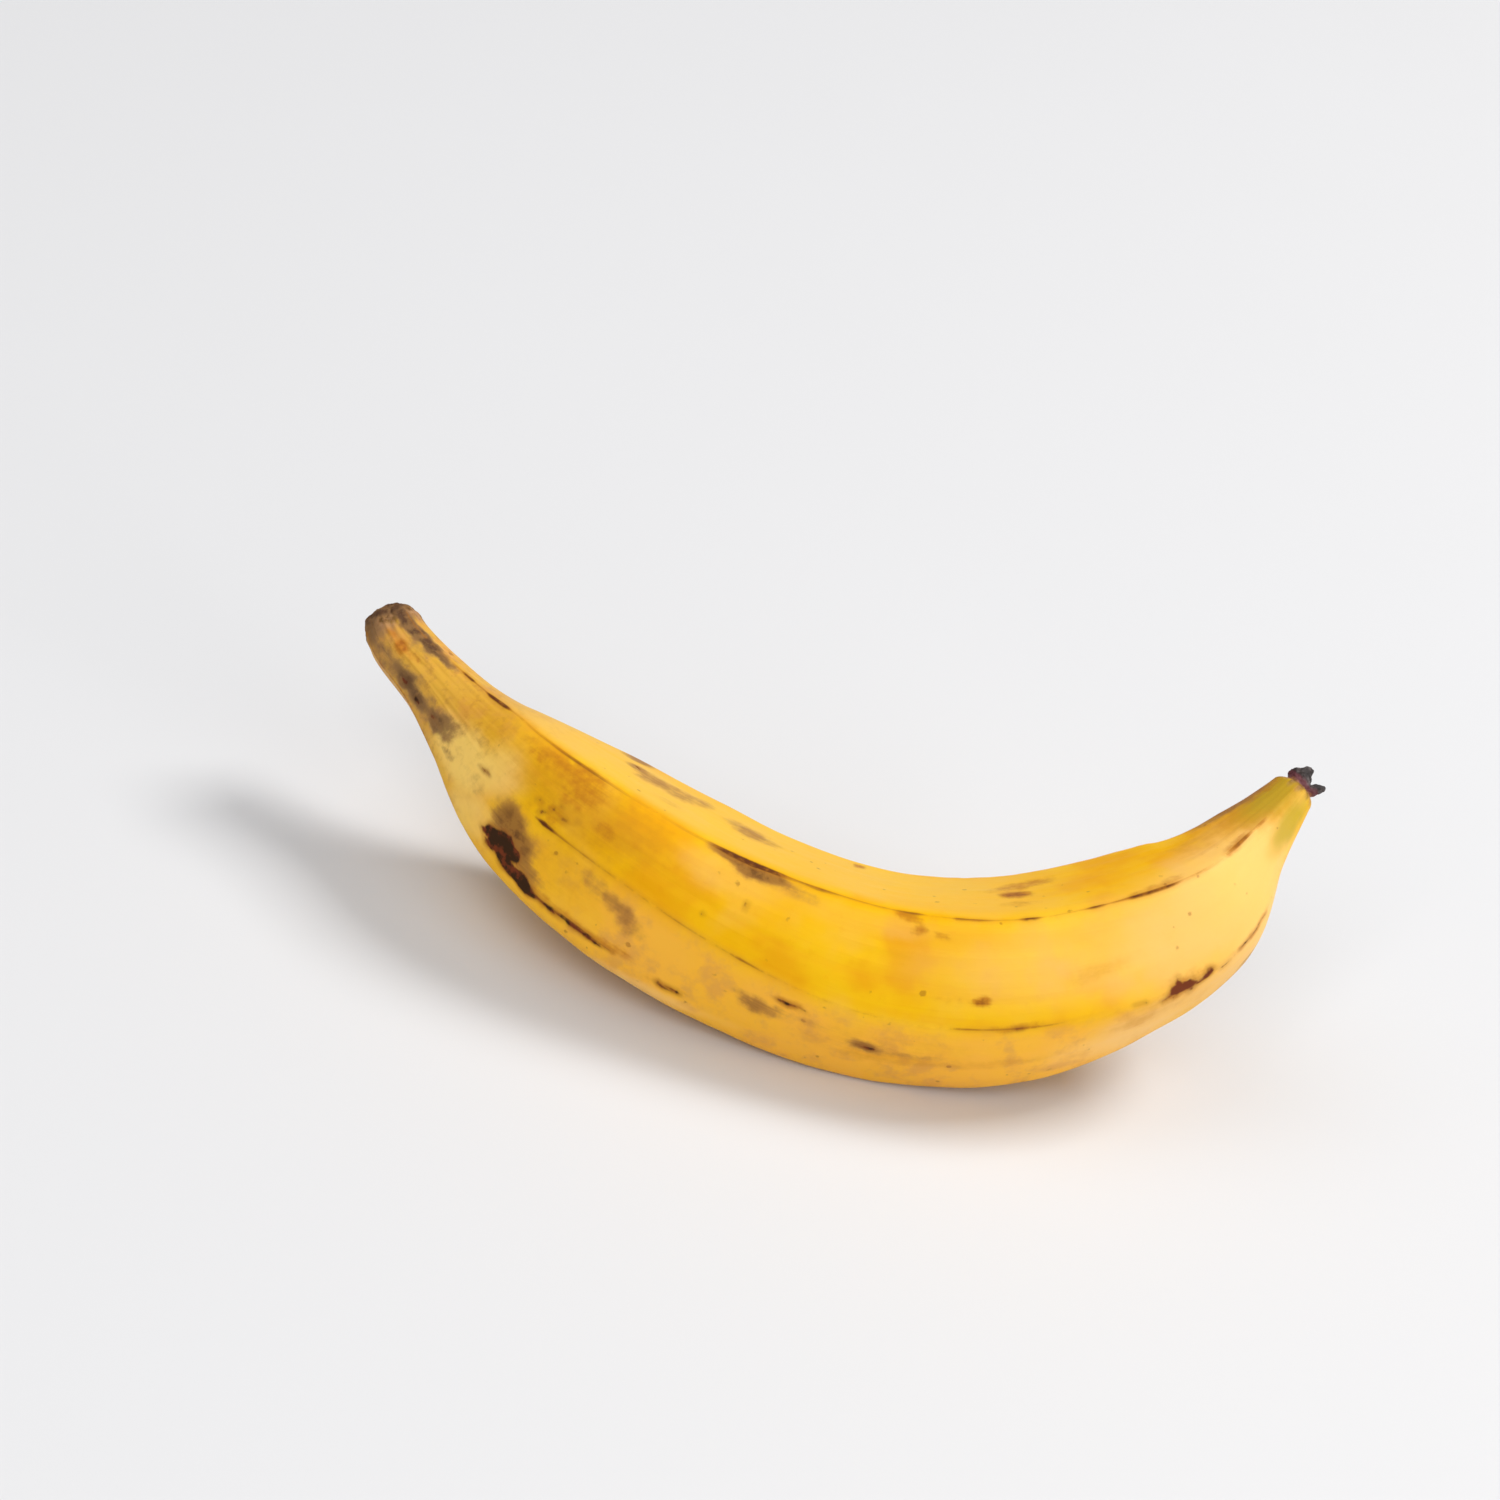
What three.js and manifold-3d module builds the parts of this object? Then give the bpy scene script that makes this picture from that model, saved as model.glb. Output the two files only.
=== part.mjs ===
// A ripe plantain, grown in one piece: dried stalk end, neck, five-sided bent body and tapering
// blossom end with the dried rest of the flower. Millimetres, +Z up, the stalk end at -X.
// It lies on the flat side under its belly, with both ends clear of the surface.
import * as THREE from "three";
import { mergeVertices } from "three/addons/utils/BufferGeometryUtils.js";
import Module from "manifold-3d";

// The middle line in the plane of the bend, x towards the blossom end and y towards the hollow
// side, with the mean radius at each distance along it.
const stations = [
  { along: 0, x: -119, y: 93.5, radius: 7.4 }, // stalk tip
  { along: 12, x: -114, y: 83, radius: 8.3 },
  { along: 26, x: -105, y: 72, radius: 9.8 }, // neck
  { along: 40, x: -96, y: 61, radius: 13.4 },
  { along: 55, x: -86, y: 51, radius: 19.2 }, // shoulder
  { along: 72, x: -73, y: 39.5, radius: 23.4 },
  { along: 95, x: -54, y: 25.5, radius: 25.2 },
  { along: 125, x: -28.5, y: 11.5, radius: 24.8 },
  { along: 155, x: 0, y: 1.5, radius: 24.6 }, // belly
  { along: 184, x: 29, y: 0, radius: 24.2 },
  { along: 211, x: 55, y: 7, radius: 21.5 },
  { along: 234, x: 75.5, y: 17.5, radius: 17.4 },
  { along: 254, x: 89, y: 32.5, radius: 9.8 },
  { along: 273, x: 101.5, y: 47, radius: 4.8 }, // blossom end
];

// Where the five long edges stand round the section, in degrees from the hollow side, and how far
// the section has gone from round (0) to five-sided (1).
const sections = [
  { along: 0, hollow: -25, upper: 60, faint: 108, lower: 150, under: 250, fiveSided: 0.2 },
  { along: 36, hollow: -25, upper: 62, faint: 110, lower: 153, under: 253, fiveSided: 0.6 },
  { along: 60, hollow: -22, upper: 75, faint: 115, lower: 163, under: 258, fiveSided: 0.85 },
  { along: 95, hollow: -16, upper: 77, faint: 117, lower: 169, under: 264, fiveSided: 0.92 },
  { along: 155, hollow: -10, upper: 75, faint: 133, lower: 193, under: 276, fiveSided: 0.94 },
  { along: 190, hollow: -8, upper: 79, faint: 140, lower: 199, under: 280, fiveSided: 0.94 },
  { along: 220, hollow: -2, upper: 82, faint: 152, lower: 200, under: 282, fiveSided: 0.9 },
  { along: 245, hollow: 8, upper: 87, faint: 158, lower: 201, under: 286, fiveSided: 0.75 },
  { along: 273, hollow: 12, upper: 97, faint: 165, lower: 203, under: 288, fiveSided: 0.3 },
];

// How far each edge stands out, as a share of the mean radius. The two sides beside the faint edge
// are fuller than flat.
const edgeReach = { hollow: 1.1, upper: 1.12, faint: 1.05, lower: 1.12, under: 1.1 };
const fullSides = ["upper", "faint"]; // each runs on from the edge of its name
const sideFullness = 0.08;
const edgeCrispness = 16; // higher makes the edges narrower

const stalkRounding = 7; // length over which the stalk tip rounds off
const blossomRounding = 2.5;

// Dried rest of the flower: pieces at the tip, measured ahead, to the hollow side and across.
const driedFlower = [
  { ahead: 1.6, hollow: 0.8, across: 0, long: 4.6, wide: 3.7, thick: 3.3 },
  { ahead: 1.2, hollow: -3.9, across: 0.4, long: 2.5, wide: 2.5, thick: 2 },
];

// How it lies: turned in the plane of the bend, leaned back on the flat side, then turned on the
// surface until its length runs along X.
const restTurn = 18.5;
const restLean = 37;
const restYaw = -5;
const flatSpotDepth = 0.5;

const ringCount = 62;
const columnsPerSide = 11;
const endCrowding = 0.82; // how closely the rings crowd towards the two ends

const sideNames = ["hollow", "upper", "faint", "lower", "under"];
const radians = THREE.MathUtils.degToRad;

// Smooth values of a list of stations at any distance along the fruit.
function readStations(list, names) {
  const distances = list.map((station) => station.along);
  const values = list.flatMap((station) => names.map((name) => station[name]));
  const curve = new THREE.CubicInterpolant(distances, values, names.length);
  return (along) => Array.from(curve.evaluate(along));
}

const middleAt = readStations(stations, ["x", "y", "radius"]);
const sectionAt = readStations(sections, [...sideNames, "fiveSided"]);
const fruitLength = stations.at(-1).along;

// Reach of the section in one direction, as a share of the mean radius: the sides between the
// edges, blended so that each edge is rounded.
function sectionReach(edgeAngles, fiveSided, angle) {
  const centre = new THREE.Vector2();
  const edges = edgeAngles.map((edge, i) =>
    new THREE.Vector2(edgeReach[sideNames[i]], 0).rotateAround(centre, edge),
  );
  const corners = edges.flatMap((edge, i) => {
    if (!fullSides.includes(sideNames[i])) return [edge];
    const middleOfSide = edge.clone().lerp(edges[i + 1], 0.5);
    return [edge, middleOfSide.multiplyScalar(1 + sideFullness)];
  });
  const direction = new THREE.Vector2(Math.cos(angle), Math.sin(angle));
  let sum = 0;
  corners.forEach((corner, i) => {
    const side = corners[(i + 1) % corners.length].clone().sub(corner);
    const outward = new THREE.Vector2(side.y, -side.x).normalize();
    const facing = direction.dot(outward) / corner.dot(outward);
    sum += Math.max(facing, 0) ** edgeCrispness;
  });
  const polygonReach = sum ** (-1 / edgeCrispness);
  return 1 + fiveSided * (polygonReach - 1);
}

// Rounding of the two ends, as a share of the full radius.
function endRounding(along) {
  const fromStalk = Math.min(along / stalkRounding, 1);
  const fromBlossom = Math.min((fruitLength - along) / blossomRounding, 1);
  const dome = (share) => Math.sqrt(1 - (1 - share) ** 2);
  return dome(fromStalk) * dome(fromBlossom);
}

// Unit directions at a distance along: ahead, to the hollow side and across the bend.
function directionsAt(along) {
  const step = 0.5;
  const [x0, y0] = middleAt(Math.max(along - step, 0));
  const [x1, y1] = middleAt(Math.min(along + step, fruitLength));
  const ahead = new THREE.Vector3(x1 - x0, y1 - y0, 0).normalize();
  const across = new THREE.Vector3(0, 0, 1);
  return { ahead, hollow: across.clone().cross(ahead), across };
}

function ringPoints(along) {
  const [x, y, radius] = middleAt(along);
  const values = sectionAt(along);
  const fiveSided = values.pop();
  const edgeAngles = values.map(radians);
  const { hollow, across } = directionsAt(along);
  const points = [];
  edgeAngles.forEach((edge, i) => {
    const last = i === edgeAngles.length - 1;
    const next = last ? edgeAngles[0] + 2 * Math.PI : edgeAngles[i + 1];
    for (let j = 0; j < columnsPerSide; j++) {
      const angle = THREE.MathUtils.lerp(edge, next, j / columnsPerSide);
      const reach = radius * endRounding(along) * sectionReach(edgeAngles, fiveSided, angle);
      points.push(
        new THREE.Vector3(x, y, 0)
          .addScaledVector(hollow, reach * Math.cos(angle))
          .addScaledVector(across, reach * Math.sin(angle)),
      );
    }
  });
  return points;
}

function fruitGeometry() {
  const columns = sideNames.length * columnsPerSide;
  const points = [];
  for (let i = 1; i < ringCount; i++) {
    const share = i / ringCount;
    const crowded = share - (endCrowding * Math.sin(2 * Math.PI * share)) / (2 * Math.PI);
    points.push(...ringPoints(fruitLength * crowded));
  }
  const faces = [];
  for (let i = 0; i < ringCount - 2; i++) {
    for (let j = 0; j < columns; j++) {
      const here = i * columns + j;
      const beside = i * columns + ((j + 1) % columns);
      faces.push(here, beside, here + columns);
      faces.push(beside, beside + columns, here + columns);
    }
  }
  const stalkTip = points.length;
  const blossomTip = stalkTip + 1;
  for (const along of [0, fruitLength]) {
    const [x, y] = middleAt(along);
    points.push(new THREE.Vector3(x, y, 0));
  }
  const lastRing = (ringCount - 2) * columns;
  for (let j = 0; j < columns; j++) {
    const beside = (j + 1) % columns;
    faces.push(stalkTip, beside, j);
    faces.push(blossomTip, lastRing + j, lastRing + beside);
  }
  return new THREE.BufferGeometry().setFromPoints(points).setIndex(faces);
}

function flowerGeometry(piece) {
  const geometry = new THREE.IcosahedronGeometry(1, 3);
  const { ahead, hollow, across } = directionsAt(fruitLength);
  const [x, y] = middleAt(fruitLength);
  const place = new THREE.Vector3(x, y, 0)
    .addScaledVector(ahead, piece.ahead)
    .addScaledVector(hollow, piece.hollow)
    .addScaledVector(across, piece.across);
  const turn = new THREE.Matrix4().makeBasis(ahead, hollow, across);
  geometry.scale(piece.long, piece.wide, piece.thick);
  return geometry.applyMatrix4(turn).translate(place.x, place.y, place.z);
}

const wasm = await Module();
wasm.setup();

function toSolid(geometry) {
  geometry.deleteAttribute("normal");
  geometry.deleteAttribute("uv");
  const merged = mergeVertices(geometry, 1e-4);
  return new wasm.Manifold(
    new wasm.Mesh({
      numProp: 3,
      vertProperties: merged.attributes.position.array,
      triVerts: new Uint32Array(merged.index.array),
    }),
  );
}

function toGeometry(solid) {
  const mesh = solid.getMesh();
  const geometry = new THREE.BufferGeometry();
  geometry.setAttribute("position", new THREE.BufferAttribute(mesh.vertProperties, 3));
  geometry.setIndex(new THREE.BufferAttribute(mesh.triVerts, 1));
  return geometry;
}

let grown = toSolid(fruitGeometry());
for (const piece of driedFlower) grown = grown.add(toSolid(flowerGeometry(piece)));

const lying = toGeometry(grown)
  .rotateZ(radians(restTurn))
  .rotateX(radians(restLean))
  .rotateZ(radians(restYaw));
lying.computeBoundingBox();
lying.translate(0, 0, -lying.boundingBox.min.z - flatSpotDepth);

// The flat spot: everything below the surface is cut off.
const surfaceSize = 400;
const belowSurface = new THREE.BoxGeometry(surfaceSize, surfaceSize, surfaceSize);
belowSurface.translate(0, 0, -surfaceSize / 2);
const rested = toGeometry(toSolid(lying).subtract(toSolid(belowSurface)));
rested.computeBoundingBox();
const middle = rested.boundingBox.getCenter(new THREE.Vector3());
rested.translate(-middle.x, -middle.y, 0);
rested.computeVertexNormals();

const peel = new THREE.MeshStandardMaterial({ color: "#e2a93a", roughness: 0.42, metalness: 0 });
const plantain = new THREE.Mesh(rested, peel);
plantain.name = "plantain";

const fruit = new THREE.Group();
fruit.add(plantain);
export default fruit;
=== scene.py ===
# A ripe plantain lying on a pale table, stalk end to the left and blossom end to the right.
# Lengths are in millimetres and angles in degrees, unless a note says otherwise.
import math

import bpy
import numpy as np
from mathutils import Matrix, Vector, noise


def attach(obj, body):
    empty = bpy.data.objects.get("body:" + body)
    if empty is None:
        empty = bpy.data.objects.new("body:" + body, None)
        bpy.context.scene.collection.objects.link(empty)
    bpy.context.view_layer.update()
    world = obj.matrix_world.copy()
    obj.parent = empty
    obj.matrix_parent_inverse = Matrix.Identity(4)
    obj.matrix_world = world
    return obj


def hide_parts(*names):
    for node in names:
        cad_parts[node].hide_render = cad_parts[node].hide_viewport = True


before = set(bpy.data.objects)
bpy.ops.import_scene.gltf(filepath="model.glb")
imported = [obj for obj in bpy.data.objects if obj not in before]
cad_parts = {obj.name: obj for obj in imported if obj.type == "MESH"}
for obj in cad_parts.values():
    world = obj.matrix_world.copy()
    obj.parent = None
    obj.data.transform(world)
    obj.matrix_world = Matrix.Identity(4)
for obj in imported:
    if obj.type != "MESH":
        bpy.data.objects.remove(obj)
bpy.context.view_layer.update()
mm = 0.001

cameraView = {
    "lens": 90,
    "sensor": 36,
    "place": (0.01401, -0.72748, 0.54586),  # in metres
    "turn": (55.55, -11.009, 9.961),
}


def setCamera():
    turn = [math.radians(angle) for angle in cameraView["turn"]]
    bpy.ops.object.camera_add(location=cameraView["place"], rotation=turn)
    camera = bpy.context.object
    camera.data.lens = cameraView["lens"]
    camera.data.sensor_width = cameraView["sensor"]
    bpy.context.scene.camera = camera
    print("camera set")


# The fruit's form. middleLine runs in the plane of the bend, x towards the blossom end and y to the
# hollow side: (distance along, x, y, mean radius). edges gives the five long edges round the section,
# counted from the hollow side: (distance along, hollow, upper, faint, lower, under, how five-sided).
fruit = {
    "middleLine": [
        (0, -119, 93.5, 7.4),  # stalk tip
        (12, -114, 83, 8.3),
        (26, -105, 72, 9.8),  # neck
        (40, -96, 61, 13.4),
        (55, -86, 51, 19.2),  # shoulder
        (72, -73, 39.5, 23.4),
        (95, -54, 25.5, 25.2),
        (125, -28.5, 11.5, 24.8),
        (155, 0, 1.5, 24.6),  # belly
        (184, 29, 0, 24.2),
        (211, 55, 7, 21.5),
        (234, 75.5, 17.5, 17.4),
        (254, 89, 32.5, 9.8),
        (273, 101.5, 47, 4.8),  # blossom end
    ],
    "edges": [
        (0, -25, 60, 108, 150, 250, 0.2),
        (36, -25, 62, 110, 153, 253, 0.6),
        (60, -22, 75, 115, 163, 258, 0.85),
        (95, -16, 77, 117, 169, 264, 0.92),
        (155, -10, 75, 133, 193, 276, 0.94),
        (190, -8, 79, 140, 199, 280, 0.94),
        (220, -2, 82, 152, 200, 282, 0.9),
        (245, 8, 87, 158, 201, 286, 0.75),
        (273, 12, 97, 165, 203, 288, 0.3),
    ],
    "edgeReach": (1.1, 1.12, 1.05, 1.12, 1.1),  # how far each edge stands out
    "fullSides": (1, 2),  # the sides that run on from these edges are fuller than flat
    "sideFullness": 0.08,
    "edgeCrispness": 16,
    "stalkRounding": 7,
    "blossomRounding": 2.5,
    "columns": 50,  # a multiple of five, so that a column follows each edge
    "rings": 100,
    "endCrowding": 0.72,  # how closely the rings crowd towards the two ends
    "drawIn": (0.62, 0.4),  # steps in which each open end is drawn in
    "heldFromStalk": (0.6, 2.5),  # where the rounded mesh is held to the section again
    "heldFromBlossom": (0.3, 1.2),
    "restTurns": ((18.5, "Z"), (37, "X"), (-5, "Z")),
    "restPlace": (24.2346, -18.0995, 19.6109),
}


def readRows(rows):
    # Smooth values between the rows, along a cubic through all of them.
    table = np.array(rows, float)
    spots, values = table[:, 0], table[:, 1:]

    def valuesAt(along):
        along = np.clip(np.atleast_1d(np.asarray(along, float)), spots[0], spots[-1])
        after = np.clip(np.searchsorted(spots, along, side="right"), 1, len(spots) - 1)
        before = after - 1
        first, last = before == 0, after == len(spots) - 1
        previous = np.where(first, after, before - 1)
        following = np.where(last, before, np.minimum(after + 1, len(spots) - 1))
        half = (spots[after] - spots[before]) / 2
        pullBack = half / (spots[before] - spots[previous])
        pullOn = half / (spots[following] - spots[after])
        share = (along - spots[before]) / (2 * half)
        square, cube = share**2, share**3
        weights = (
            (previous, -pullBack * cube + 2 * pullBack * square - pullBack * share),
            (before, (1 + pullBack) * cube - (1.5 + 2 * pullBack) * square + (pullBack - 0.5) * share + 1),
            (after, -(1 + pullOn) * cube + (1.5 + pullOn) * square + 0.5 * share),
            (following, pullOn * cube - pullOn * square),
        )
        return sum(weight[:, None] * values[index] for index, weight in weights)

    return valuesAt


middleAt = readRows(fruit["middleLine"])
edgesAt = readRows(fruit["edges"])
fruitLength = fruit["middleLine"][-1][0]


def smooth(values, low, high):
    share = np.clip((values - low) / (high - low), 0, 1)
    return share * share * (3 - 2 * share)


def directionsAt(along):
    # Unit directions ahead and to the hollow side. The third, across the bend, is always +Z.
    step = 0.5
    before = middleAt(np.maximum(along - step, 0))[:, :2]
    after = middleAt(np.minimum(along + step, fruitLength))[:, :2]
    ahead = after - before
    ahead /= np.linalg.norm(ahead, axis=1)[:, None]
    hollow = np.stack([-ahead[:, 1], ahead[:, 0]], axis=1)
    return ahead, hollow


def endRounding(along):
    def dome(share):
        return np.sqrt(1 - (1 - np.clip(share, 0, 1)) ** 2)

    return dome(along / fruit["stalkRounding"]) * dome((fruitLength - along) / fruit["blossomRounding"])


def sectionReach(along, angle):
    # How far the section reaches in one direction, as a share of the mean radius.
    rows = edgesAt(along)
    edgeAngles, fiveSided = np.radians(rows[:, :5]), rows[:, 5]
    reach = np.array(fruit["edgeReach"])
    edges = [
        reach[i] * np.stack([np.cos(edgeAngles[:, i]), np.sin(edgeAngles[:, i])], axis=1) for i in range(5)
    ]
    corners = []
    for i, edge in enumerate(edges):
        corners.append(edge)
        if i in fruit["fullSides"]:
            corners.append((edge + edges[i + 1]) / 2 * (1 + fruit["sideFullness"]))
    direction = np.stack([np.cos(angle), np.sin(angle)], axis=1)
    total = np.zeros(len(angle))
    for corner, following in zip(corners, corners[1:] + corners[:1]):
        side = following - corner
        outward = np.stack([side[:, 1], -side[:, 0]], axis=1)
        facing = (direction * outward).sum(axis=1) / (corner * outward).sum(axis=1)
        total += np.maximum(facing, 0) ** fruit["edgeCrispness"]
    polygonReach = total ** (-1 / fruit["edgeCrispness"])
    return 1 + fiveSided * (polygonReach - 1)


def surfacePoint(along, angle):
    middle = middleAt(along)
    hollow = directionsAt(along)[1]
    reach = middle[:, 2] * endRounding(along) * sectionReach(along, angle)
    inPlane = middle[:, :2] + hollow * (reach * np.cos(angle))[:, None]
    return np.column_stack([inPlane, reach * np.sin(angle)])


def meshPoints(piece):
    flat = np.empty(len(piece.data.vertices) * 3)
    piece.data.vertices.foreach_get("co", flat)
    return flat.reshape(-1, 3) / mm


def putPoints(piece, points):
    piece.data.vertices.foreach_set("co", (points * mm).ravel())
    piece.data.update()


def meshNormals(piece):
    flat = np.empty(len(piece.data.vertices) * 3)
    piece.data.vertices.foreach_get("normal", flat)
    return flat.reshape(-1, 3)


seedShift = (17.3, 5.1, 9.7)  # moves each seed's noise to a place of its own


def unevenness(points, size, seed, octaves=1):
    # Soft noise of about -1 to 1 at each point, its lumps about size across.
    shift = Vector([part * seed for part in seedShift])
    spread = np.asarray(size, float)
    return np.array([noise.fractal(Vector(point) + shift, 1.0, 2.0, octaves) for point in points / spread])


def applyAll(piece):
    bpy.context.view_layer.objects.active = piece
    for modifier in list(piece.modifiers):
        bpy.ops.object.modifier_apply(modifier=modifier.name)


def roundOff(piece, levels):
    rounder = piece.modifiers.new("rounder", "SUBSURF")
    rounder.levels = levels
    rounder.render_levels = levels
    applyAll(piece)


def faceOutwards():
    bpy.ops.object.mode_set(mode="EDIT")
    bpy.ops.mesh.select_all(action="SELECT")
    bpy.ops.mesh.normals_make_consistent(inside=False)
    bpy.ops.object.mode_set(mode="OBJECT")


def selectOnly(piece):
    bpy.ops.object.select_all(action="DESELECT")
    piece.select_set(True)
    bpy.context.view_layer.objects.active = piece


def drawOutTube():
    # A ring at the stalk tip is extruded on, ring after ring, along the middle line.
    columns = fruit["columns"]
    shares = np.arange(1, fruit["rings"]) / fruit["rings"]
    spots = fruitLength * (shares - fruit["endCrowding"] * np.sin(2 * np.pi * shares) / (2 * np.pi))
    middles = middleAt(spots)
    ahead = directionsAt(spots)[0]
    headings = np.arctan2(ahead[:, 1], ahead[:, 0])
    radii = middles[:, 2] * endRounding(spots)
    bpy.ops.object.select_all(action="DESELECT")
    bpy.ops.mesh.primitive_circle_add(
        vertices=columns,
        radius=radii[0] * mm,
        location=(middles[0, 0] * mm, middles[0, 1] * mm, 0),
        rotation=(math.pi / 2, 0, headings[0] + math.pi / 2),
    )
    piece = bpy.context.object
    piece.name = "plantainPeel"
    bpy.ops.object.transform_apply(location=True, rotation=True, scale=True)
    bpy.ops.object.mode_set(mode="EDIT")
    bpy.ops.mesh.select_all(action="SELECT")
    for i in range(1, len(spots)):
        step = (middles[i] - middles[i - 1]) * mm
        place = (middles[i, 0] * mm, middles[i, 1] * mm, 0)
        swell = radii[i] / radii[i - 1]
        bpy.ops.mesh.extrude_edges_move(TRANSFORM_OT_translate={"value": (step[0], step[1], 0)})
        bpy.ops.transform.rotate(
            value=headings[i - 1] - headings[i], orient_axis="Z", orient_type="GLOBAL", center_override=place
        )
        bpy.ops.transform.resize(value=(swell, swell, swell), center_override=place)
    bpy.ops.object.mode_set(mode="OBJECT")
    return piece, spots


def squareToEdges(piece, spots):
    # Each column of a ring moves on to its own place between two of the five edges.
    columns = fruit["columns"]
    points = meshPoints(piece)
    along = np.repeat(spots, columns)
    middle = middleAt(along)
    hollow = directionsAt(along)[1]
    towardsHollow = ((points[:, :2] - middle[:, :2]) * hollow).sum(axis=1)
    angle = np.arctan2(points[:, 2], towardsHollow)
    column = np.round(angle / (2 * np.pi) * columns).astype(int) % columns
    perSide = columns // 5
    rows = edgesAt(along)[:, :5]
    rows = np.column_stack([rows, rows[:, 0] + 360])
    side = column // perSide
    share = (column % perSide) / perSide
    pick = np.arange(len(points))
    squared = rows[pick, side] * (1 - share) + rows[pick, side + 1] * share
    putPoints(piece, surfacePoint(along, np.radians(squared)))


def closeEnds(piece, spots):
    # Both open rings are drawn in and merged on the middle line.
    ends = ((0, 0.0), (fruit["rings"] - 2, float(fruitLength)))
    columns = fruit["columns"]
    for ring, along in ends:
        selectOnly(piece)
        bpy.ops.object.mode_set(mode="EDIT")
        bpy.ops.mesh.select_all(action="DESELECT")
        bpy.ops.mesh.select_mode(type="VERT")
        bpy.ops.object.mode_set(mode="OBJECT")
        for index in range(ring * columns, (ring + 1) * columns):
            piece.data.vertices[index].select = True
        bpy.ops.object.mode_set(mode="EDIT")
        bpy.ops.mesh.select_mode(type="EDGE")
        place = middleAt(along)[0] * mm
        for draw in fruit["drawIn"]:
            bpy.ops.mesh.extrude_edges_move()
            bpy.ops.transform.resize(value=(draw, draw, draw), center_override=(place[0], place[1], 0))
        bpy.ops.mesh.merge(type="CENTER")
        bpy.ops.object.mode_set(mode="OBJECT")
    faceOutwards()


def placeOnFruit(points):
    # Distance along and angle round of each point, from the nearest spot of the middle line.
    sampleCount = 600
    batch = 5000  # points measured at a time, to spare memory
    corrections = 3
    samples = np.linspace(0, fruitLength, sampleCount)
    line = middleAt(samples)[:, :2]
    along = np.empty(len(points))
    for start in range(0, len(points), batch):
        part = points[start : start + batch, :2]
        gap = ((part[:, None] - line[None]) ** 2).sum(axis=2)
        along[start : start + batch] = samples[gap.argmin(axis=1)]
    for _ in range(corrections):
        ahead = directionsAt(along)[0]
        away = points[:, :2] - middleAt(along)[:, :2]
        along = np.clip(along + (away * ahead).sum(axis=1), 0, fruitLength)
    hollow = directionsAt(along)[1]
    away = points[:, :2] - middleAt(along)[:, :2]
    towardsHollow = (away * hollow).sum(axis=1)
    return along, np.arctan2(points[:, 2], towardsHollow), np.hypot(towardsHollow, points[:, 2])


def evenAngles(along, angle):
    # The angle round, drawn out so that the five edges always stand evenly apart.
    rows = edgesAt(along)[:, :5]
    start = rows[:, :1]
    turned = np.mod(np.degrees(angle)[:, None] - start, 360)[:, 0]
    edges = np.column_stack([rows - start, np.full(len(rows), 360.0)])
    side = np.clip((edges <= turned[:, None]).sum(axis=1) - 1, 0, 4)
    pick = np.arange(len(rows))
    share = (turned - edges[pick, side]) / (edges[pick, side + 1] - edges[pick, side])
    return (side + share) * 360 / 5


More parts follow.
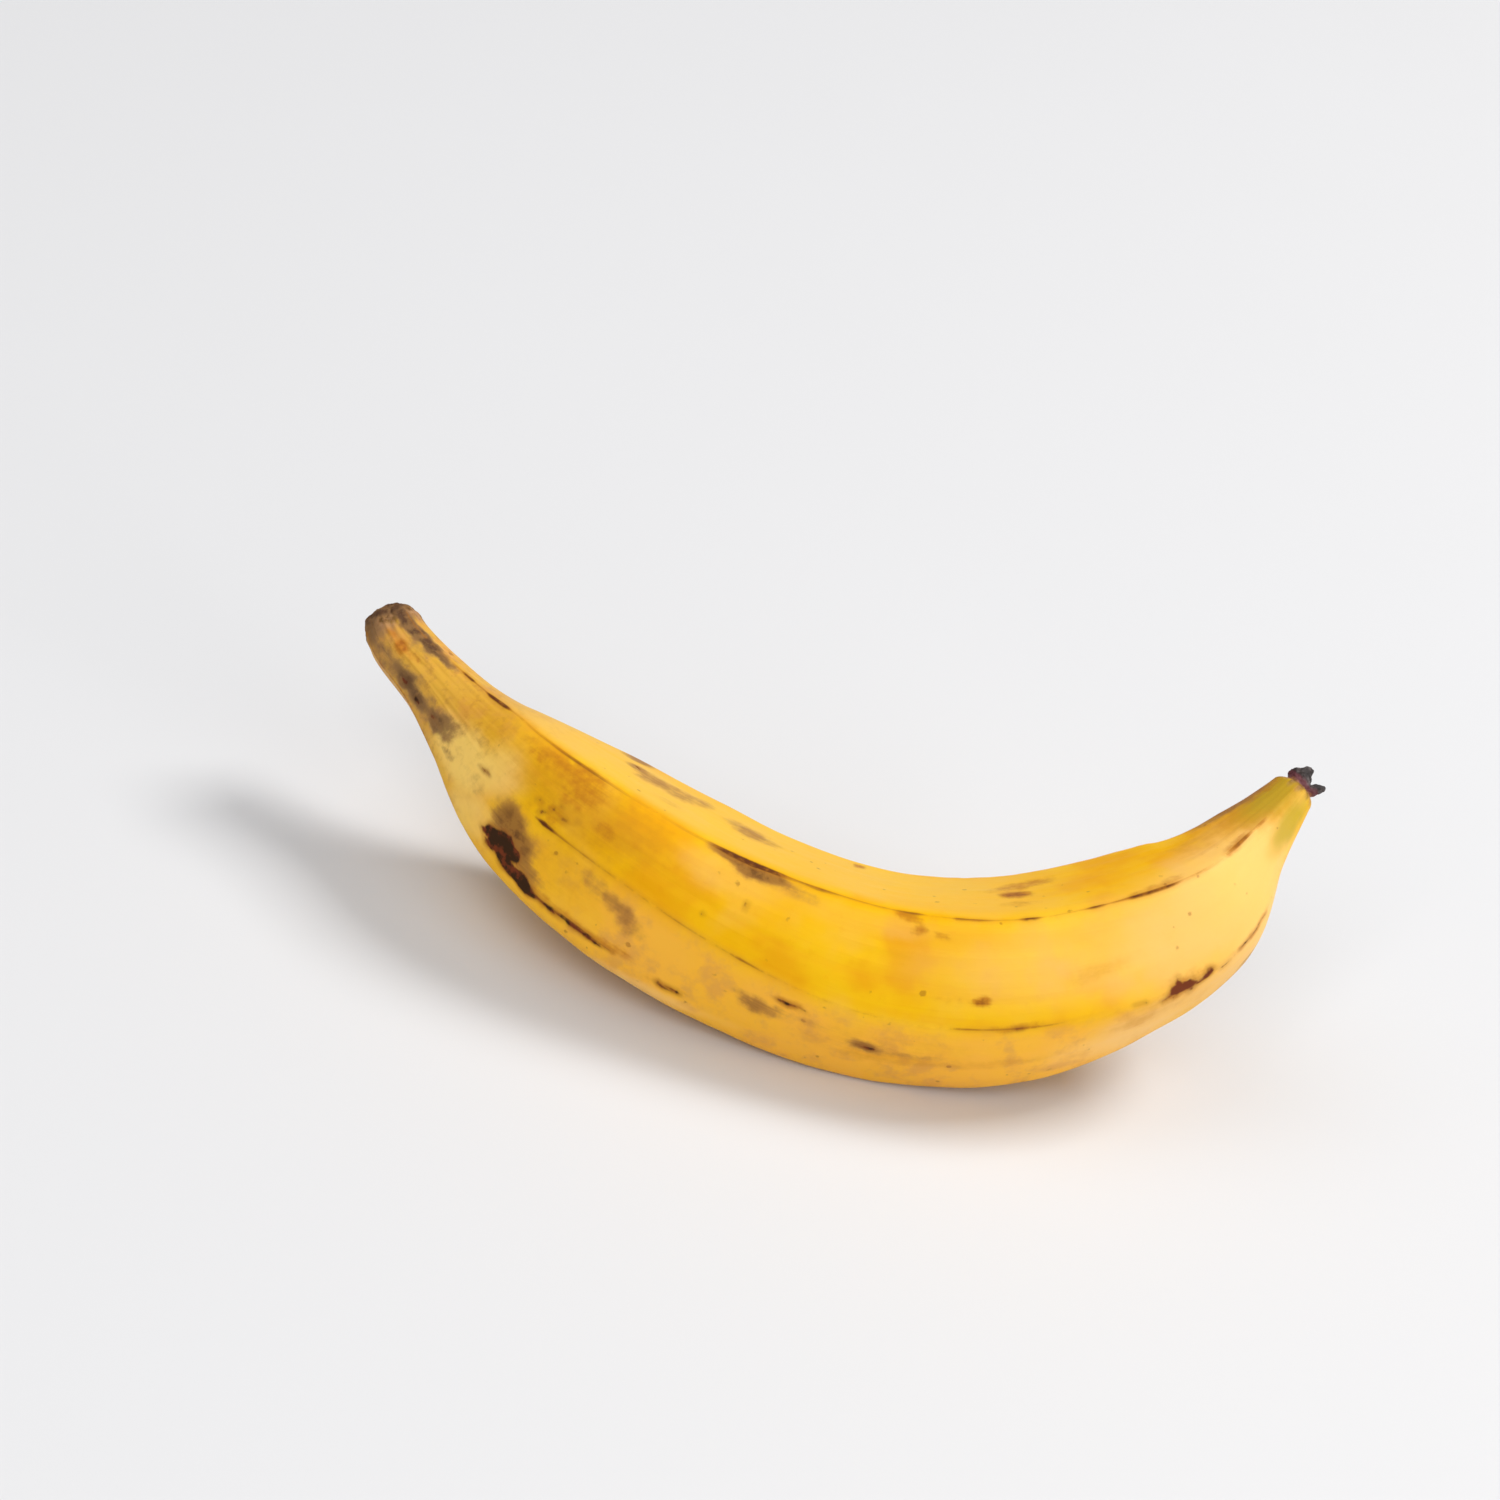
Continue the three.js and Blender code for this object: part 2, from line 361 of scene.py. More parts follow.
# Marks on the peel. Each streak runs along one edge: (distance along, how dark, half width).
# A scar is a stroke: (along, round, along, round, half width at each end, how dark).
# All others are ovals: (along, round, half length, half width, slant, how strong). Smudges are
# bruises. Flush is a browner yellow, and just below the upper edge it is painted shade. Cream is
# creamy peel, and on the right end partly painted sheen.
marks = {
    "streaks": {
        "hollow": [
            (0, 0.4, 0.6), (14, 0.6, 0.6), (30, 0.3, 0.4), (52, 0.1, 0.3), (130, 0.1, 0.3),
            (140, 0.5, 0.4), (157, 0.45, 0.4), (160, 0.1, 0.3), (198, 0.1, 0.4), (208, 0.55, 0.7),
            (224, 0.5, 0.7), (230, 0.3, 0.5), (246, 0.5, 0.5), (262, 0.7, 0.7), (273, 0.5, 0.5),
        ],
        "upper": [
            (0, 0.2, 0.3), (22, 0.3, 0.25), (29, 0.55, 0.25), (30.5, 0.95, 0.4), (33, 1, 0.45),
            (34, 0.8, 0.2), (38, 0.8, 0.2), (40, 1, 0.65), (46, 1, 0.75), (48.5, 0.55, 0.25),
            (54, 0.5, 0.25), (60, 0.6, 0.3), (66, 0.8, 0.35), (75, 0.85, 0.4), (84, 0.6, 0.3),
            (92, 0.4, 0.25), (98, 0.5, 0.25), (108, 0.7, 0.25), (111, 0.9, 0.5), (116, 1, 0.8),
            (122, 1.1, 0.85), (128, 0.95, 0.6), (131, 0.8, 0.35), (135, 0.8, 0.35), (139, 0.85, 0.4),
            (144, 0.7, 0.3), (150, 0.55, 0.3), (157, 0.55, 0.25), (159, 0.8, 0.35), (163, 0.8, 0.35),
            (165, 0.35, 0.2), (171, 0.4, 0.2), (172.5, 0.85, 0.4), (178, 0.8, 0.35), (183, 0.55, 0.2),
            (188, 0.6, 0.25), (189, 0.95, 0.45), (192, 0.9, 0.4), (194, 0.4, 0.2), (204, 0.5, 0.2),
            (206, 0.95, 0.35), (208, 0.9, 0.3), (210, 0.5, 0.2), (214, 0.6, 0.3), (216, 0.95, 0.45),
            (225, 0.9, 0.45), (229, 0.55, 0.3), (236, 0.6, 0.3), (242, 0.3, 0.2), (247, 0.75, 0.5),
            (251, 0.8, 0.45), (253, 0.4, 0.3), (257, 0.6, 0.3), (261, 0.1, 0.2), (273, 0.2, 0.3),
        ],
        "faint": [
            (0, 0, 0.2), (71.5, 0, 0.2), (72.5, 0.7, 0.25), (74, 1, 0.5), (76, 0.95, 0.42),
            (78, 0.8, 0.25), (82, 0.6, 0.18), (88, 0.45, 0.22), (105, 0.35, 0.2), (112, 0.5, 0.25),
            (117, 0.45, 0.22), (124, 0.35, 0.2), (127, 0.6, 0.4), (131, 0.5, 0.25), (136, 0.1, 0.2),
            (170, 0.1, 0.2), (173, 0.55, 0.25), (183, 0.55, 0.25), (185, 0.75, 0.35), (187, 0.5, 0.25),
            (192, 0.45, 0.25), (196, 0.1, 0.2), (273, 0, 0.2),
        ],
        "lower": [
            (0, 0.3, 0.5), (20, 0.4, 0.5), (40, 0.2, 0.3), (60, 0.05, 0.3), (118, 0.1, 0.3),
            (125, 0.6, 0.4), (150, 0.5, 0.4), (180, 0.6, 0.4), (195, 0.2, 0.3), (215, 0.1, 0.3),
            (273, 0.1, 0.3),
        ],
        "under": [
            (0, 0.4, 0.5), (20, 0.6, 0.5), (40, 0.3, 0.3), (85, 0.2, 0.3), (96, 0.85, 0.6),
            (118, 0.8, 0.5), (121, 0.3, 0.3), (170, 0.2, 0.3), (188, 0.8, 0.5), (205, 0.7, 0.4),
            (209, 0.2, 0.3), (273, 0.2, 0.3),
        ],
    },
    "scars": [
        (61.5, 147, 64, 145, 0.3, 1.2, 0.85),  # the large blackened patch on the shoulder
        (64, 145, 68, 144, 1.5, 2.4, 0.97),
        (69, 143.5, 72, 143.5, 2.8, 1.6, 1.0),
        (66, 150, 71, 153, 1.4, 1.1, 1.0),
        (69.5, 148, 73, 152, 1.2, 1.0, 1.0),
        (71, 152.5, 76, 153.5, 1.3, 1.8, 1.0),
        (76, 153.5, 80.5, 155, 1.7, 0.8, 1.0),
        (80, 155, 87, 155.5, 0.6, 0.4, 0.8),
        (87, 155.5, 90, 156, 0.4, 0.6, 0.85),
        (90, 156, 97.5, 156, 0.8, 0.5, 0.9),
        (97.5, 156, 101, 156.5, 0.35, 0.1, 0.8),
        (27, 137, 29, 136, 0.5, 0.4, 0.9),  # on the neck
        (21, 133, 22.5, 131, 0.4, 0.3, 0.7),
        (33.5, 129, 34.5, 128, 0.3, 0.3, 0.7),
        (54, 118, 56.5, 118, 0.2, 0.2, 0.6),
        (70, 107, 70.4, 107, 0.2, 0.2, 0.6),
        (72, 112, 72.6, 111, 0.3, 0.2, 0.7),
        (73.6, 107, 74.2, 106, 0.3, 0.25, 0.65),
        (75.5, 102, 76, 102, 0.25, 0.25, 0.6),
        (77, 107, 77.8, 107, 0.3, 0.2, 0.6),
        (80, 104, 80.3, 104, 0.15, 0.15, 0.5),
        (112, 162, 116.3, 162.5, 0.3, 0.5, 0.95),
        (137.8, 140, 140.2, 140, 0.25, 0.45, 0.9),
        (140.2, 140, 142.5, 141, 0.35, 0.15, 0.85),
        (142.9, 143, 143.3, 143, 0.3, 0.3, 0.5),
        (155, 157.5, 157.4, 158, 0.4, 0.5, 0.6),
        (115.7, 111, 116.3, 111, 0.15, 0.15, 0.65),
        (124, 98, 124.5, 98, 0.12, 0.12, 0.6),
        (184.4, 138.5, 185.6, 138.5, 0.3, 0.3, 0.7),
        (78, 14, 79.3, 17, 0.6, 0.4, 0.7),
        (219, 151.5, 221, 154, 1.4, 1.5, 0.66),  # the star
        (219.4, 150.5, 219.2, 143, 1.1, 0.35, 0.66),
        (218.8, 153, 217.6, 158, 1.2, 0.3, 0.66),
        (218.6, 152.5, 215.4, 155.5, 1.2, 0.25, 0.66),
        (220.6, 155, 221.4, 160, 1.0, 0.3, 0.66),
        (221, 153, 223.6, 157, 1.0, 0.3, 0.6),
        (224.4, 155, 226, 152.5, 0.8, 0.6, 0.72),
        (228.6, 157, 230, 157, 0.25, 0.2, 0.55),
        (208.8, 147, 210.8, 148, 0.15, 0.2, 0.6),
        (233.6, 157.5, 235, 157.5, 0.3, 0.15, 0.75),
        (236.4, 158, 238.4, 158.5, 0.2, 0.2, 0.8),
        (239.2, 159.5, 241, 160.5, 0.15, 0.15, 0.7),
        (234.5, 191, 237.5, 188, 0.25, 0.15, 0.7),
        (128, 222, 131, 224, 1.6, 1.0, 0.9),  # out of sight from the front
        (131, 224, 143, 229, 0.6, 0.1, 0.9),
        (84, 305, 96, 309, 1.2, 0.3, 0.95),
        (176, 318, 179, 321, 1.2, 0.8, 0.9),
        (58, 232, 69, 240, 0.3, 1.2, 0.9),
        (205, 242, 212, 240, 0.5, 0.1, 0.85),
    ],
    "smudges": [
        (2.5, 92, 3.5, 7, 0, 1.4), (3, 130, 2.5, 5, 0, 1.1), (9, 70, 5, 2.2, -8, 1.3),
        (14, 66, 5, 2.2, -4, 1.35), (19, 65, 4.5, 2.0, 0, 1.25), (24, 64, 4.5, 1.4, 0, 1.0),
        (18, 75, 4, 2.2, 0, 0.6), (7, 138, 5, 3.4, 0, 0.85), (14, 136, 5, 2.8, 0, 0.6),
        (20, 128, 4.5, 2.6, 0, 0.85), (22, 131, 4, 2.4, 0, 1.0), (24, 122, 3.4, 2.2, -10, 0.6),
        (28, 134, 4.5, 2.2, 0, 1.1), (31, 124, 3.4, 2.2, 0, 0.6), (35, 128, 3.4, 2.2, 0, 1.05),
        (38, 121, 4.5, 2.8, 0, 0.85), (41, 112, 3.4, 1.8, 0, 0.5), (43, 135, 2.6, 1.2, 0, 0.65),
        (49, 104, 5, 1.6, 0, 0.35), (55, 118, 2.4, 0.8, 0, 0.6), (55.5, 129, 2.6, 2, 0, 0.35),
        (66, 139, 3.5, 3, 0, 0.7), (67, 130, 5.4, 4.4, 20, 1.0), (72, 136, 5, 4, 10, 1.0),
        (69, 126, 3.4, 2.4, 0, 0.6), (76, 145, 6, 3, 10, 0.8), (75, 349, 4.5, 3, 0, 0.9),
        (79, 17, 3.4, 3.4, 0, 0.7), (84, 24, 5, 6, 0, 0.7), (91, 24, 6.5, 6, -8, 0.65),
        (97, 16, 4.5, 4, -8, 0.55), (93, 54, 5, 2.4, 0, 0.3), (109, 22, 3.6, 3.6, 0, 0.5),
        (114.5, 27, 5.4, 4.8, 0, 0.7), (119.5, 29, 4, 3, 0, 0.5), (115, 79, 6, 1.6, 0, 0.85),
        (122, 80.5, 6, 2, 0, 1.1), (127, 79.5, 5, 1.6, 0, 0.95), (133, 81, 7, 2, 0, 0.55),
        (91, 127, 4, 2.2, 12, 0.55), (96, 129, 4, 2.4, 12, 0.65), (100, 132, 4, 2.4, 12, 0.65),
        (102, 138, 4, 2.4, 0, 0.5), (130, 145, 2.4, 1.6, 0, 0.5), (133, 150, 3.6, 2.8, 0, 0.8),
        (137.5, 149, 3.2, 2, 0, 0.65), (146, 149, 5, 1.6, 0, 0.3), (156, 157.5, 4, 2.2, 0, 0.95),
        (163, 161, 7, 1.4, 0, 0.4), (235, 184, 3, 1.2, 0, 0.6), (231, 190, 5, 0.9, 0, 0.5),
        (259, 14, 12, 2.8, 0, 0.85), (90, 285, 14, 6, 6, 0.7), (150, 300, 9, 5, 0, 0.6),
        (198, 262, 10, 4, -6, 0.7), (48, 215, 9, 4, 0, 0.7), (22, 250, 7, 4, 0, 0.8),
        (120, 238, 8, 3, 0, 0.6), (232, 235, 6, 3, 0, 0.6),
    ],
    "rust": [
        (73, 81, 8, 2, 0, 0.75), (77, 88, 6, 5, 0, 0.6), (66, 84, 9, 3, 0, 0.4),
        (74, 108, 4, 3, 0, 0.45), (87, 100, 3, 2, 0, 0.5), (190, 40, 5, 2.6, 12, 1.1),
        (193, 22, 11, 3, -8, 0.7), (190, 58, 6, 2, 0, 0.4), (161, 78, 4, 1.4, 0, 0.75),
        (164, 84, 2, 1.3, 0, 0.75), (169, 86.5, 1.8, 1, 0, 0.6), (144, 2, 2.2, 1.6, 0, 0.9),
        (178, 121, 1.8, 1.2, 0, 1.05), (172, 120, 4, 1.8, 0, 0.25), (11, 102, 1.8, 1.2, 0, 0.7),
        (15, 102, 2.4, 1.6, 0, 0.9), (19, 98, 2.4, 1.2, 0, 0.45), (185, 138, 5, 1.3, 0, 0.55),
        (114, 162, 5, 1.4, 0, 0.5), (140, 140, 4.4, 1.5, 0, 0.55), (80, 154, 14, 2.4, 0, 0.5),
        (96, 155, 9, 1.8, 0, 0.6), (266, 30, 6, 2, 0, 0.4), (220, 153, 6, 3, 0, 0.5),
        (225.5, 153, 2.6, 1.6, 0, 0.5), (237, 158, 6, 1.4, 0, 0.4), (247, 86, 6, 1.3, 0, 0.55),
        (222, 80, 9, 1.6, 0, 0.5), (160, 276, 16, 4, 0, 0.4), (70, 262, 12, 4, 0, 0.5),
        (215, 300, 9, 3, 0, 0.5),
    ],
    # Creamy peel; the large ovals on the right end are partly painted sheen.
    "creamAndSheen": [
        (47, 124, 11, 7, 0, 1.0), (58, 108, 8, 7, 0, 0.7), (118, 88, 14, 5, 0, 0.4),
        (60, 138, 6, 3, 0, 0.5), (58, 151, 9, 5, 0, 0.7), (66, 40, 26, 14, 0, 0.15),
        (104, 55, 26, 12, 0, 0.1), (104, 171, 26, 2.4, 0, 0.7), (234, 114, 30, 16, 0, 0.9),
        (198, 104, 34, 12, 0, 0.45), (252, 122, 14, 9, 0, 0.9), (268, 118, 4, 3, 0, 0.6),
        (214, 172, 24, 8, 0, 0.8), (238, 168, 14, 7, 0, 0.9), (150, 84, 30, 3, 0, 0.25),
        (140, 250, 30, 10, 0, 0.5),
    ],
    "olive": [
        (262, 134, 9, 3.4, 4, 0.75), (265, 62, 10, 6, 0, 0.7), (266, 250, 12, 8, 0, 0.6),
    ],
    # Browner yellow; the ovals just below the upper edge, on the shoulder and front, are painted shade.
    "flushAndShade": [
        (80, 95, 22, 9, 0, 0.7), (66, 87, 12, 6, 0, 0.4), (106, 91, 18, 7, 0, 0.2),
        (44, 92, 12, 6, 0, 0.4), (262, 52, 13, 8, 0, 1.0), (84, 128, 14, 9, 0, 0.35),
        (66, 108, 7, 5, 0, 0.2), (245, 45, 12, 7, 0, 0.5), (203, 117, 9, 2.6, 0, 0.4),
        (208, 163, 6, 2.6, 0, 0.5), (212, 160, 12, 5, 0, 0.35), (160, 157, 22, 8, 0, 0.28),
        (162, 166, 13, 2.0, 0, 0.5), (180, 168, 12, 1.8, 0, 0.42), (150, 236, 24, 7, 0, 0.6),
    ],
}

# Where the peel changes along the fruit: (starts, is complete).
zones = {
    "cutFace": (0.2, 2.6),
    "streaksStart": (3, 7),
    "dryStalk": (3, 15),
    "dryBlossom": (268.5, 272.5),
    "neck": (28, 72),
    # where the painted light on the upward facet starts and ends along the fruit
    "paintedLightStarts": (34, 50),
    "paintedLightEnds": (180, 215),
    "lowerBandDeepens": (76, 104),
}

# Where its two bands start and end round the fruit, in degrees from the edges beside them.
# The upper band is painted light: the upward facet made a paler straw yellow.
peelBands = {
    "upperStarts": (2, 16),
    "upperFades": 12,
    "lowerStarts": (-5, 12),
    "lowerEnds": (40, 80),
    "lowerLeast": 0.35,  # its strength beside the neck
}

# How the marks are laid on: how far they stray from their rows, so that they come out uneven, and
# where an oval starts to fade and is gone, as shares of its size.
layOn = {
    "strayForward": 0.9,
    "strayAside": 0.8,
    "straySize": 5,
    "fineStray": 0.35,
    "fineStraySize": 1.8,
    "ovalFade": (0.35, 1.5),
    "dryStray": 1.5,
    "dryStraySize": (6, 5, 5),
    "farOff": 9.0,  # rim distance of what no streak or scar is near
}


def besideStroke(along, angle, reach, stroke):
    # Distance of each point from a stroke's rim, less than 0 inside it.
    startAlong, startRound, endAlong, endRound, startWide, endWide = stroke
    middleRound = math.radians((startRound + endRound) / 2)
    turn = np.mod(angle - middleRound + math.pi, 2 * math.pi) - math.pi
    around = turn * reach
    lengthwise = endAlong - startAlong
    sideways = math.radians(endRound - startRound)
    middleAlong = (startAlong + endAlong) / 2
    local = float(middleAt(middleAlong)[0, 2])
    line = np.array([lengthwise, sideways * local])
    away = np.column_stack([along - startAlong, around + sideways * local / 2])
    share = np.clip((away @ line) / (line @ line), 0, 1)
    gap = np.linalg.norm(away - share[:, None] * line, axis=1)
    return gap - (startWide + share * (endWide - startWide))


def insideOval(along, angle, reach, oval):
    # 1 in the middle of an oval, falling to 0 at its rim.
    middleAlong, middleRound, halfLength, halfWidth, slant, strength = oval
    turn = np.mod(angle - math.radians(middleRound) + math.pi, 2 * math.pi) - math.pi
    lengthwise, sideways = along - middleAlong, turn * reach
    lean = math.radians(slant)
    forward = lengthwise * math.cos(lean) + sideways * math.sin(lean)
    aside = sideways * math.cos(lean) - lengthwise * math.sin(lean)
    away = np.hypot(forward / halfLength, aside / halfWidth)
    return strength * (1 - smooth(away, *layOn["ovalFade"]))


def strayed(points, along, angle, reach):
    # Places a little off the true ones, so that the marks read there come out uneven.
    size, fineSize = layOn["straySize"], layOn["fineStraySize"]
    forward = layOn["strayForward"] * unevenness(points, size, 11, 2)
    forward += layOn["fineStray"] * unevenness(points, fineSize, 12)
    aside = layOn["strayAside"] * unevenness(points, size, 13, 2)
    aside += layOn["fineStray"] * unevenness(points, fineSize, 14)
    leastReach = 4  # keeps the marks near the tips from turning right round
    return along + forward, angle + aside / np.maximum(reach, leastReach)


def readMarks(points, along, angle, reach):
    # The rim distance and darkness of the nearest streak and scar, and the strength of the patches.
    found = {}
    farOff = layOn["farOff"]
    rows = edgesAt(along)[:, :5]
    rim = np.full(len(along), farOff)
    dark = np.zeros(len(along))
    for column, side in enumerate(("hollow", "upper", "faint", "lower", "under")):
        table = np.array(marks["streaks"][side])
        turn = np.mod(np.degrees(angle) - rows[:, column] + 180, 360) - 180
        gap = np.abs(np.radians(turn)) * reach - np.interp(along, table[:, 0], table[:, 2])
        nearer = gap < rim
        rim = np.where(nearer, gap, rim)
        dark = np.where(nearer, np.interp(along, table[:, 0], table[:, 1]), dark)
    offFace = smooth(along, *zones["streaksStart"])
    found["streakRim"] = rim + farOff * (1 - offFace)  # none on the stalk's cut face
    found["streakDark"] = dark
    along, angle = strayed(points, along, angle, reach)
    rim = np.full(len(along), farOff)
    dark = np.zeros(len(along))
    for *stroke, strokeDark in marks["scars"]:
        gap = besideStroke(along, angle, reach, stroke)
        nearer = gap < rim
        rim = np.where(nearer, gap, rim)
        dark = np.where(nearer, strokeDark, dark)
    found["scarRim"], found["scarDark"] = rim, dark
    for name in ("smudges", "rust", "creamAndSheen", "olive", "flushAndShade"):
        cubes = [insideOval(along, angle, reach, oval) ** 3 for oval in marks[name]]
        found[name] = np.cbrt(sum(cubes))
    return found


# Low relief of the peel: heights outwards, how large the lumps are, and where each fades.
relief = {
    "stalkCalm": (1, 6),
    "blossomCalm": (0.5, 4),
    "dents": 0.28,
    "dentSize": 15,
    "flutes": 0.1,
    "fluteSize": (28, 3.2, 3.2),
    "edgeRib": 0.22,
    "edgeRibWidth": 1.1,
    "edgeRibSize": (7, 9, 9),
    "neckWrinkles": 0.2,
    "neckWrinkleSize": (16, 5.5, 5.5),
    "neckWrinklesFade": (12, 58),
    "tipRoughness": 0.45,
    "tipRoughnessSize": 2.6,
    "tipRoughnessFades": (3, 13),
    "tipDish": 1.1,
    "tipDishSize": 1.8,
    "tipDishFades": (0, 2.6),
    "scarDepth": 0.16,
    "scarSize": 1.6,
    "scarRim": (-0.6, 0.5),
}
evenRadius = 24  # of the straight, even fruit that the lengthwise patterns are drawn on


def addRelief(piece, along, angle, reach, found):
    points = meshPoints(piece)
    normals = meshNormals(piece)
    even = np.radians(evenAngles(along, angle))
    drawn = np.column_stack([along, evenRadius * np.cos(even), evenRadius * np.sin(even)])
    rows = edgesAt(along)[:, :5]
    turns = np.mod(np.degrees(angle)[:, None] - rows + 180, 360) - 180
    gap = np.abs(np.radians(turns)).min(axis=1) * reach
    endCalm = smooth(along, *relief["stalkCalm"]) * smooth(fruitLength - along, *relief["blossomCalm"])
    dents = 0.5 + 0.5 * unevenness(points, relief["dentSize"], 1, 2)
    height = -relief["dents"] * dents * endCalm
    height += relief["flutes"] * unevenness(drawn, relief["fluteSize"], 2, 2) * endCalm
    rib = np.exp(-((gap / relief["edgeRibWidth"]) ** 2))
    rise = 0.6 + 0.5 * unevenness(drawn, relief["edgeRibSize"], 3, 2)
    height += relief["edgeRib"] * rib * rise * endCalm
    neck = 1 - smooth(along, *relief["neckWrinklesFade"])
    wrinkles = unevenness(drawn, relief["neckWrinkleSize"], 4, 2)
    height += relief["neckWrinkles"] * neck * wrinkles * endCalm
    tip = 1 - smooth(along, *relief["tipRoughnessFades"])
    height += relief["tipRoughness"] * tip * (unevenness(points, relief["tipRoughnessSize"], 5, 3) - 0.9)
    scarred = 1 - smooth(found["scarRim"], *relief["scarRim"])
    height -= relief["scarDepth"] * scarred * (0.7 + 0.6 * unevenness(points, relief["scarSize"], 6, 2))
    points += normals * height[:, None]
    # The stalk's cut face is a little dished and its rim ragged.
    ahead = directionsAt(along)[0]
    ragged = 0.75 + 0.5 * unevenness(points, relief["tipDishSize"], 7, 3)
    face = (1 - smooth(along, *relief["tipDishFades"])) * ragged
    points[:, :2] += ahead * (relief["tipDish"] * face)[:, None]
    putPoints(piece, points)
    return drawn


def addAttributes(piece, drawn, found):
    mesh = piece.data
    mesh.attributes.new("drawn", "FLOAT_VECTOR", "POINT").data.foreach_set("vector", drawn.ravel())
    for name, values in found.items():
        mesh.attributes.new(name, "FLOAT", "POINT").data.foreach_set("value", values)


def layDown(points):
    # From the plane of the bend to the way it lies on the table, pressed flat where it touches.
    for turn, axis in fruit["restTurns"]:
        points = points @ np.array(Matrix.Rotation(math.radians(turn), 3, axis)).T
    points = points + np.array(fruit["restPlace"])
    points[:, 2] = np.maximum(points[:, 2], 0)
    return points


def makeFruit():
    piece, spots = drawOutTube()
    squareToEdges(piece, spots)
    closeEnds(piece, spots)
    roundOff(piece, 2)
    points = meshPoints(piece)
    along, angle, reach = placeOnFruit(points)
    hold = smooth(along, *fruit["heldFromStalk"])
    hold *= smooth(fruitLength - along, *fruit["heldFromBlossom"])
    putPoints(piece, points + (surfacePoint(along, angle) - points) * hold[:, None])
    found = readMarks(points, along, angle, reach)
    drawn = addRelief(piece, along, angle, reach, found)
    degrees = np.degrees(angle)
    uneven = along + layOn["dryStray"] * unevenness(drawn, layOn["dryStraySize"], 8, 2)
    found["dry"] = 1 - smooth(uneven, *zones["dryStalk"]) + 0.7 * smooth(uneven, *zones["dryBlossom"])
    found["dry"] += 0.6 * (1 - smooth(uneven, *zones["cutFace"]))
    hollow, upper, faint, lower = edgesAt(along)[:, :4].T
    around = np.mod(degrees, 360)
    fromHollow = np.mod(degrees - hollow + 180, 360) - 180
    wide = upper - hollow
    found["neck"] = 1 - smooth(along, *zones["neck"])
    # The upper band is painted light: the upward facet, made paler.
    found["upperPaintedLight"] = smooth(fromHollow, *peelBands["upperStarts"])
    found["upperPaintedLight"] *= 1 - smooth(fromHollow, wide - peelBands["upperFades"], wide)
    found["upperPaintedLight"] *= smooth(along, *zones["paintedLightStarts"])
    found["upperPaintedLight"] *= 1 - smooth(along, *zones["paintedLightEnds"])
    found["lowerBand"] = smooth(around - faint, *peelBands["lowerStarts"])
    found["lowerBand"] *= 1 - smooth(around - lower, *peelBands["lowerEnds"])
    least = peelBands["lowerLeast"]
    found["lowerBand"] *= least + (1 - least) * smooth(along, *zones["lowerBandDeepens"])
    addAttributes(piece, drawn, found)
    putPoints(piece, layDown(meshPoints(piece)))
    selectOnly(piece)
    bpy.ops.object.shade_smooth()
    print("fruit made,", len(piece.data.polygons), "faces")
    return piece


class Shade:
    # One value in a material. Plain arithmetic on it adds Math nodes.
    def __init__(self, paint, socket):
        self.paint = paint
        self.socket = socket

    def __add__(self, other):
        return self.paint.maths("ADD", self, other)

    def __sub__(self, other):
        return self.paint.maths("SUBTRACT", self, other)

    def __rsub__(self, other):
        return self.paint.maths("SUBTRACT", other, self)

    def __mul__(self, other):
        return self.paint.maths("MULTIPLY", self, other)

    __radd__ = __add__
    __rmul__ = __mul__


class Paint:
    # A material and the ways to add to its nodes.
    def __init__(self, name):
        self.material = bpy.data.materials.new(name)
        self.material.use_nodes = True
        self.nodes = self.material.node_tree.nodes
        self.nodes.clear()

    def node(self, kind, settings, sockets, take=0):
        made = self.nodes.new(kind)
        for name, value in settings.items():
            setattr(made, name, value)
        for name, value in sockets.items():
            if isinstance(value, Shade):
                self.material.node_tree.links.new(value.socket, made.inputs[name])
            else:
                made.inputs[name].default_value = value
        return Shade(self, made.outputs[take]) if made.outputs else None

    def maths(self, operation, first, second):
        return self.node("ShaderNodeMath", {"operation": operation}, {0: first, 1: second})

    def rise(self, value, low, high):
        settings = {"interpolation_type": "SMOOTHSTEP"}
        return self.node("ShaderNodeMapRange", settings, {"Value": value, "From Min": low, "From Max": high})

    def blend(self, factor, under, over):
        settings = {"data_type": "RGBA", "blend_type": "MIX", "clamp_factor": True}
        return self.node("ShaderNodeMix", settings, {0: factor, 6: under, 7: over}, 2)

    def strength(self, value, spread, share=None):
        # From 0, where the value is at the spread's first number, to its third at the second.
        low, high, most = spread
        factor = self.rise(value, low, high)
        if share is not None:
            factor = factor * share
        return factor * most

    def layer(self, under, over, value, spread, share=None):
        return self.blend(self.strength(value, spread, share), under, over)

    def frayed(self, value, ragged, amount):
        # A patch's strength with its rim made ragged. Where there is no patch, it stays 0.
        return value + ragged * self.rise(value, 0.0, 0.3) * amount

    def attribute(self, name, take="Fac"):
        return self.node("ShaderNodeAttribute", {"attribute_name": name}, {}, take)

    def noise(self, place, scale, detail, rough):
        sockets = {"Vector": place, "Scale": scale, "Detail": detail, "Roughness": rough}
        return self.node("ShaderNodeTexNoise", {}, sockets, "Fac")

    def bump(self, height, strength):
        sockets = {"Strength": strength, "Distance": 0.3 * mm, "Height": height}
        return self.node("ShaderNodeBump", {}, sockets, "Normal")

    def stretch(self, place, amounts):
        return self.node("ShaderNodeMapping", {}, {"Vector": place, "Scale": amounts})

    def finish(self, sockets):
        surface = self.node("ShaderNodeBsdfPrincipled", {}, sockets)
        self.node("ShaderNodeOutputMaterial", {}, {"Surface": surface})
        return self.material


def tint(red, green, blue):
    # A colour from its everyday 0 to 255 numbers.
    parts = [value / 255 for value in (red, green, blue)]
    linear = [part / 12.92 if part <= 0.04045 else ((part + 0.055) / 1.055) ** 2.4 for part in parts]
    return (*linear, 1.0)


